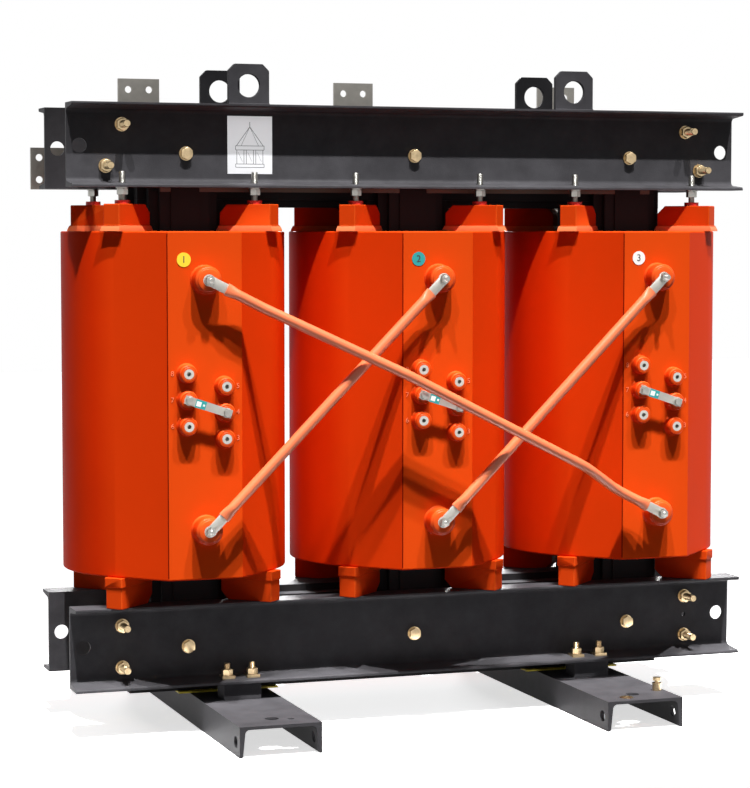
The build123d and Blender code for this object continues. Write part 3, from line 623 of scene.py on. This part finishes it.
def make_terminal_hardware():
    """Bolts with spring washers on the terminals and taps; long ones keep their threaded end."""
    bolts = Piece("terminal_hexagon_bolts", "zinc")
    seat = -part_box("terminal_washers")[0].y
    top = min(-low.y for low, high in solids("terminal_bolts"))
    for low, high in solids("terminal_bolts"):
        root = root_of((low, high))
        add_bolt(bolts, root, terminal_shank_radius, -high.y, seat, spring_washer_height,
                 terminal_head_flats, top)
        end = root + FRONT * top
        if -low.y > top + long_bolt_excess:
            bolts.thread(end, FRONT, terminal_shank_radius, -low.y - top, m12_pitch)
        else:
            bolts.lathe(end, FRONT, bolt_end_profile, shank_steps)
    bolts.make("terminal_bolts")

    taps = Piece("tap_hexagon_bolts", "zinc")
    link_face = -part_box("tap_links")[0].y
    for low, high in solids("tap_bolts"):
        add_bolt(taps, root_of((low, high)), tap_shank_radius, -high.y, link_face,
                 tap_washer_height, tap_head_flats, -low.y)
    taps.make("tap_bolts")


def make_bosses():
    """Rounded shoulders and root fillets over the cast bosses."""
    bosses = Piece("cast_boss_shoulders", "boss_resin", slot="hv_resin")
    for node_name, profile in boss_profiles.items():
        for box in solids(node_name):
            root = root_of(box) + FRONT * panel_face
            bosses.lathe(root, FRONT, profile, closed_loop=True)
    bosses.make()


def route_of(points):
    """Closely spaced points along a path with its corners rounded."""
    route = [points[0]]
    for before, corner, after in zip(points, points[1:], points[2:]):
        back = (before - corner).normalized()
        on = (after - corner).normalized()
        half = back.angle(on) / 2
        cut = bend_radius / tan(half)
        center = corner + (back + on).normalized() * (bend_radius / sin(half))
        first = corner + back * cut - center
        last = corner + on * cut - center
        sweep = first.angle(last)
        steps = max(2, int(sweep * bend_radius / route_spacing) + 1)
        for step in range(steps + 1):
            share = step / steps
            blend = (first * sin((1 - share) * sweep) + last * sin(share * sweep)) / sin(sweep)
            route.append(center + blend)
    route.append(points[-1])
    dense = []
    for start, end in zip(route, route[1:]):
        pieces = max(1, int((end - start).length / route_spacing))
        dense += [start + (end - start) * (i / pieces) for i in range(pieces)]
    return dense + [route[-1]]


def make_lugs(name, start, end):
    """A link's flat tinned lugs, with a round end about each terminal."""
    along = (end - start).normalized()
    across = along.cross(FRONT).normalized()
    half = lug_thickness / 2
    lugs = Piece(f"{name}_lugs", "tinned_copper", smooth=50.0)
    for point, inward in ((start, along), (end, -along)):
        outline = []
        for step in range(lug_arc_steps + 1):
            angle = pi / 2 + pi * step / lug_arc_steps
            outline.append((inward * cos(angle) + across * sin(angle)) * lug_half_width)
        hidden_end = inward * (lug_length + lug_inside_sleeve)
        outline.append(hidden_end - across * lug_half_width)
        outline.append(hidden_end + across * lug_half_width)
        layers = [(lug_face_share, -half), (1, lug_edge - half), (1, half - lug_edge),
                  (lug_face_share, half)]
        lugs.loft([[point + corner * share + FRONT * offset for corner in outline]
                   for share, offset in layers])
    lugs.make(f"{name}_bar")


def make_sleeve(name, start, end, bow):
    """A link's glossy sleeve, which flattens over the lugs and bows out to the front if asked."""
    along = (end - start).normalized()
    length = (end - start).length
    across = along.cross(FRONT).normalized()
    across_up = across if across.z > 0 else -across
    out = FRONT * cos(radians(bow_tilt)) + across_up * sin(radians(bow_tilt))
    sleeve_start = lug_length / length
    shares = [(sleeve_start, 0), (1 - sleeve_start, 0)]
    if bow:
        shares[1:1] = zip(bow_shares, (0, bow, bow, 0))
    route = route_of([start + along * (share * length) + out * offset for share, offset in shares])
    total = sum((after - before).length for before, after in zip(route, route[1:]))
    angles = [2 * pi * step / sleeve_points for step in range(sleeve_points)]
    travelled = 0.0
    rings = []
    for index, point in enumerate(route):
        before = route[max(index - 1, 0)]
        after = route[min(index + 1, len(route) - 1)]
        travelled += (point - before).length
        tangent = (after - before).normalized()
        wide = tangent.cross(FRONT).normalized()
        deep = wide.cross(tangent).normalized()
        near_end = max(0.0, 1 - min(travelled, total - travelled) / sleeve_flare_length)
        flare = near_end * near_end * (3 - 2 * near_end)
        half_wide = sleeve_radius + (sleeve_flare_half_width - sleeve_radius) * flare
        half_deep = sleeve_radius + (sleeve_flare_half_depth - sleeve_radius) * flare
        rings.append([point + wide * (half_wide * cos(angle)) + deep * (half_deep * sin(angle))
                      for angle in angles])
    sleeve = Piece(f"{name}_cover", "link_sleeve")
    sleeve.loft(rings)
    sleeve.make(f"{name}_sleeve")


def make_links():
    """The three delta links, from the top terminal of one phase to the bottom one of another."""
    heights = [middle(box).z for box in solids("terminal_inserts")]
    left, center, right = phase_x
    links = [("link_a_to_c", left, right, link_bow), ("link_b_to_a", center, left, 0),
             ("link_c_to_b", right, center, 0)]
    for name, start_x, end_x, bow in links:
        start = Vector((start_x, depth_of_lugs, max(heights)))
        end = Vector((end_x, depth_of_lugs, min(heights)))
        make_lugs(name, start, end)
        make_sleeve(name, start, end, bow)


def add_digit(name, text, place, size, thickness, finish, slot):
    """A number that stands a little proud of a front face."""
    curve = bpy.data.curves.new(name, "FONT")
    curve.body = text
    curve.size = size
    curve.extrude = thickness / 2
    curve.align_x = "CENTER"
    curve.align_y = "CENTER"
    draft = bpy.data.objects.new(f"{name}_draft", curve)
    bpy.context.scene.collection.objects.link(draft)
    bpy.context.view_layer.update()
    mesh = bpy.data.meshes.new_from_object(draft)
    bpy.data.objects.remove(draft)
    obj = bpy.data.objects.new(name, mesh)
    bpy.context.scene.collection.objects.link(obj)
    obj.rotation_euler = (pi / 2, 0, 0)
    obj.location = place
    dress(obj, finish, slot)
    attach(obj, "root")


def make_digits():
    """Plain numbers: one on each phase marker, and raised ones beside the taps, paler than the
    coil resin as a painted highlight.
    """
    taps = [middle(box) for box in solids("tap_inserts")]
    taps.sort(key=lambda place: (place.x, -place.z))
    for number, (phase, x) in enumerate(zip("abc", phase_x), 1):
        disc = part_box(f"phase_disc_{phase}")
        place = root_of(disc) + FRONT * (phase_digit_rise - disc[0].y)
        add_digit(f"phase_number_{number}", str(number), place, phase_digit_size,
                  phase_digit_thickness, "ink", disc_slots[phase])
        own = [tap for tap in taps if abs(tap.x - x) < panel_x]
        for tap, digit in zip(own, tap_digits):
            side = 1 if tap.x > x else -1
            place = Vector((tap.x + side * digit_offset, -panel_face - tap_digit_rise, tap.z))
            add_digit(f"tap_digit_{phase}_{digit}", digit, place, tap_digit_size,
                      tap_digit_thickness, "digit_resin_painted_highlight", "hv_resin")


def plate(piece, center, along, length, width, thickness):
    """A thin flat plate facing the front, laid along a direction."""
    across = along.cross(FRONT).normalized()
    corners = [(-1, -1), (1, -1), (1, 1), (-1, 1)]
    flat = [center + along * (i * length / 2) + across * (j * width / 2) for i, j in corners]
    piece.loft([[point + FRONT * offset for point in flat]
                for offset in (-thickness / 2, thickness / 2)])


def make_stickers():
    """A small plain sticker on each tap link, with two pale squares."""
    pieces = {"tap_stickers": Piece("tap_stickers", "disc_teal"),
              "tap_sticker_squares": Piece("tap_sticker_squares", "disc_white")}
    for low, high in solids("tap_links"):
        center = middle((low, high))
        center.y = low.y
        along = Vector((high.x - low.x, 0, low.z - high.z + tap_link_width)).normalized()
        for name, back, length, width, thickness in sticker_sizes:
            plate(pieces[name], center - along * back, along, length, width, thickness)
    for piece in pieces.values():
        piece.make()


def make_label_sketch():
    """A generic line sketch of a hoisted transformer on the plate, with no words."""
    low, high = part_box("label_plate")
    center = middle((low, high))
    center.y = low.y - sketch_rise
    lines = Piece("label_sketch", "ink", slot="label")

    def stroke(x0, z0, x1, z1, width=sketch_line):
        start = center + Vector((x0, 0, z0)) * MM
        end = center + Vector((x1, 0, z1)) * MM
        along = (end - start).normalized()
        plate(lines, (start + end) / 2, along, (end - start).length, width, sketch_thickness)

    for side in (-1, 1):
        for reach, width in zip(sketch_rope_reach, (sketch_line, sketch_thin_line)):
            stroke(0, sketch_rope_end, side * reach, sketch_lid[0], width)
        for top, bottom in (sketch_lid, sketch_base):
            stroke(side * sketch_half_width, top, side * sketch_half_width, bottom)
    stroke(0, sketch_rope_end, 0, sketch_hook)
    for height in (*sketch_lid, *sketch_base):
        stroke(-sketch_half_width, height, sketch_half_width, height)
    for x in sketch_coils:
        for side_x in (x - sketch_coil_half_width, x + sketch_coil_half_width):
            stroke(side_x, sketch_lid[1], side_x, sketch_base[0])
        stroke(x - sketch_slash_half_width, sketch_slash[0], x + sketch_slash_half_width,
               sketch_slash[1], sketch_hair_line)
    lines.make()


def make_welds():
    """Rippled weld beads along the foot of each lifting lug."""
    beads = Piece("lug_weld_beads", "frame_paint")
    angles = [2 * pi * step / weld_points for step in range(weld_points)]
    for low, high in solids("lifting_lugs"):
        steps = int((high.x - low.x) / weld_ripple)
        for y in (low.y, high.y):
            rings = []
            for step in range(steps + 1):
                x = low.x + (high.x - low.x) * step / steps
                radius = weld_radius * (1 + weld_swell * (step % 2))
                rings.append([Vector((x, y + radius * cos(angle), low.z + radius * sin(angle)))
                              for angle in angles])
            beads.loft(rings)
    beads.make()


def make_seams():
    """A dark strip of painted shade along the left edge of each terminal panel."""
    edge_shade_strips = Piece("panel_edge_painted_shade", "painted_edge_shade", slot="hv_resin")
    inside = painted_shade_facing * painted_shade_depth
    for x in phase_x:
        near = Vector((x - panel_x, -panel_face, 0)) + painted_shade_facing * painted_shade_rise
        far = near + painted_shade_slope * painted_shade_width
        section = (near, far, far - inside, near - inside)
        edge_shade_strips.loft([[Vector((point.x, point.y, z)) for point in section]
                    for z in (coil_low.z + painted_shade_end_gap, coil_high.z - painted_shade_end_gap)])
    edge_shade_strips.make()


def seat_outline(points):
    """Corners of the smallest convex outline about flat points, in order."""
    def side(points):
        kept = []
        for point in points:
            while len(kept) > 1 and (kept[-1] - kept[-2]).cross(point - kept[-2]) <= outline_bend:
                kept.pop()
            kept.append(point)
        return kept[:-1]

    rounded = {(round(point.x, outline_digits), round(point.y, outline_digits))
               for point in points}
    ordered = [Vector(point) for point in sorted(rounded)]
    return side(ordered) + side(ordered[::-1])


def make_block_bands():
    """The rounded band along the seat of each top block, where the casting meets the coil, in a
    lighter copy of the block resin as painted light.
    """
    bands = Piece("block_seat_bands", "band_resin_painted_light", slot="block_resin")
    places = [vert.co for vert in frame["nodes"]["top_blocks"].data.vertices]
    for low, high in solids("top_blocks"):
        seat = [place for place in places
                if place.z < low.z + seat_tolerance
                and low.x - seat_margin < place.x < high.x + seat_margin
                and low.y - seat_margin < place.y < high.y + seat_margin]
        outline = seat_outline(seat)
        center = sum(outline, Vector((0, 0))) / len(outline)
        rings = []
        for rise, growth in band_profile:
            ring = [corner + (corner - center).normalized() * growth for corner in outline]
            rings.append([Vector((corner.x, corner.y, low.z + rise)) for corner in ring])
        bands.loft(rings)
    bands.make()


make_block_bands()
make_frame_hardware()
make_spare_nut()
make_terminal_hardware()
make_bosses()
make_links()
make_digits()
make_stickers()
make_label_sketch()
make_welds()
make_seams()


# Floor, light and camera
def seen_directly(tree):
    """1 for rays from the camera and through gloss or glass, 0 for light on the object."""
    path = tree.nodes.new("ShaderNodeLightPath")
    share = path.outputs["Is Camera Ray"]
    for kind in ("Is Glossy Ray", "Is Transmission Ray"):
        most = tree.nodes.new("ShaderNodeMath")
        most.operation = "MAXIMUM"
        tree.links.new(share, most.inputs[0])
        tree.links.new(path.outputs[kind], most.inputs[1])
        share = most.outputs["Value"]
    return share


def floor_material():
    """A white studio floor that keeps a soft shadow and throws little light back."""
    material, tree, shader = new_material("floor")
    shader.inputs["Base Color"].default_value = floor_grey
    shader.inputs["Roughness"].default_value = floor_roughness
    pale = add_node(tree, "ShaderNodeBsdfDiffuse", Color=floor_seen_grey)
    glow = add_node(tree, "ShaderNodeEmission", Color=white, Strength=floor_glow)
    bright = tree.nodes.new("ShaderNodeAddShader")
    tree.links.new(pale.outputs["BSDF"], bright.inputs[0])
    tree.links.new(glow.outputs["Emission"], bright.inputs[1])
    seen = add_node(tree, "ShaderNodeMixShader", Fac=seen_directly(tree))
    tree.links.new(shader.outputs["BSDF"], seen.inputs[1])
    tree.links.new(bright.outputs["Shader"], seen.inputs[2])
    tree.links.new(seen.outputs["Shader"], tree.nodes["Material Output"].inputs["Surface"])
    return material


def add_lamp(lamp, place, towards):
    """Place a lamp that shines from the side that the direction points to."""
    obj = bpy.data.objects.new(lamp.name, lamp)
    bpy.context.scene.collection.objects.link(obj)
    obj.location = place
    obj.rotation_euler = towards.to_track_quat("Z", "Y").to_euler()


def make_floor():
    """A wide floor under the feet, left out of the object."""
    bpy.ops.mesh.primitive_plane_add(size=floor_size)
    floor = bpy.context.object
    floor.name = "floor"
    floor.data.materials.append(floor_material())


def make_lamps():
    """The row of spot lamps, whose light does not fade with distance, and the suns."""
    pitch = phase_x[1] - phase_x[0]
    for number in range(spots):
        x = phase_x[1] + (number - (spots - 1) / 2) * pitch
        lamp = bpy.data.lights.new(f"spot_{number}", "SPOT")
        lamp.energy = spot_power
        lamp.spot_size = radians(spot_cone)
        lamp.spot_blend = spot_blend
        lamp.shadow_soft_size = spot_radius
        lamp.use_nodes = True
        tree = lamp.node_tree
        even = add_node(tree, "ShaderNodeLightFalloff", Strength=1.0)
        tree.links.new(even.outputs["Constant"], tree.nodes["Emission"].inputs["Strength"])
        place = Vector((x, -spot_reach, spot_height))
        add_lamp(lamp, place, place - Vector((x, 0, 0)) - spot_aim)
    for name, (towards, strength, width) in suns.items():
        lamp = bpy.data.lights.new(name, "SUN")
        lamp.energy = strength
        lamp.angle = radians(width)
        add_lamp(lamp, towards * sun_distance, towards)


def make_world():
    """A faint even light on the object, seen as plain white."""
    world = bpy.data.worlds.new("studio")
    bpy.context.scene.world = world
    world.use_nodes = True
    tree = world.node_tree
    soft = tree.nodes["Background"]
    soft.inputs["Color"].default_value = ambient_color
    soft.inputs["Strength"].default_value = ambient_level
    bright = add_node(tree, "ShaderNodeBackground", Color=white, Strength=1.0)
    seen = add_node(tree, "ShaderNodeMixShader", Fac=seen_directly(tree))
    tree.links.new(soft.outputs["Background"], seen.inputs[1])
    tree.links.new(bright.outputs["Background"], seen.inputs[2])
    tree.links.new(seen.outputs["Shader"], tree.nodes["World Output"].inputs["Surface"])


def make_camera():
    """The camera of the main view."""
    data = bpy.data.cameras.new("camera")
    data.lens = camera_lens
    data.clip_end = camera_clip_end
    camera = bpy.data.objects.new("camera", data)
    camera.location = camera_place
    camera.rotation_euler = (radians(90 - camera_pitch), 0, radians(-camera_yaw))
    bpy.context.scene.collection.objects.link(camera)
    bpy.context.scene.camera = camera


make_floor()
make_lamps()
make_world()
make_camera()
bpy.context.scene.view_settings.view_transform = "Standard"
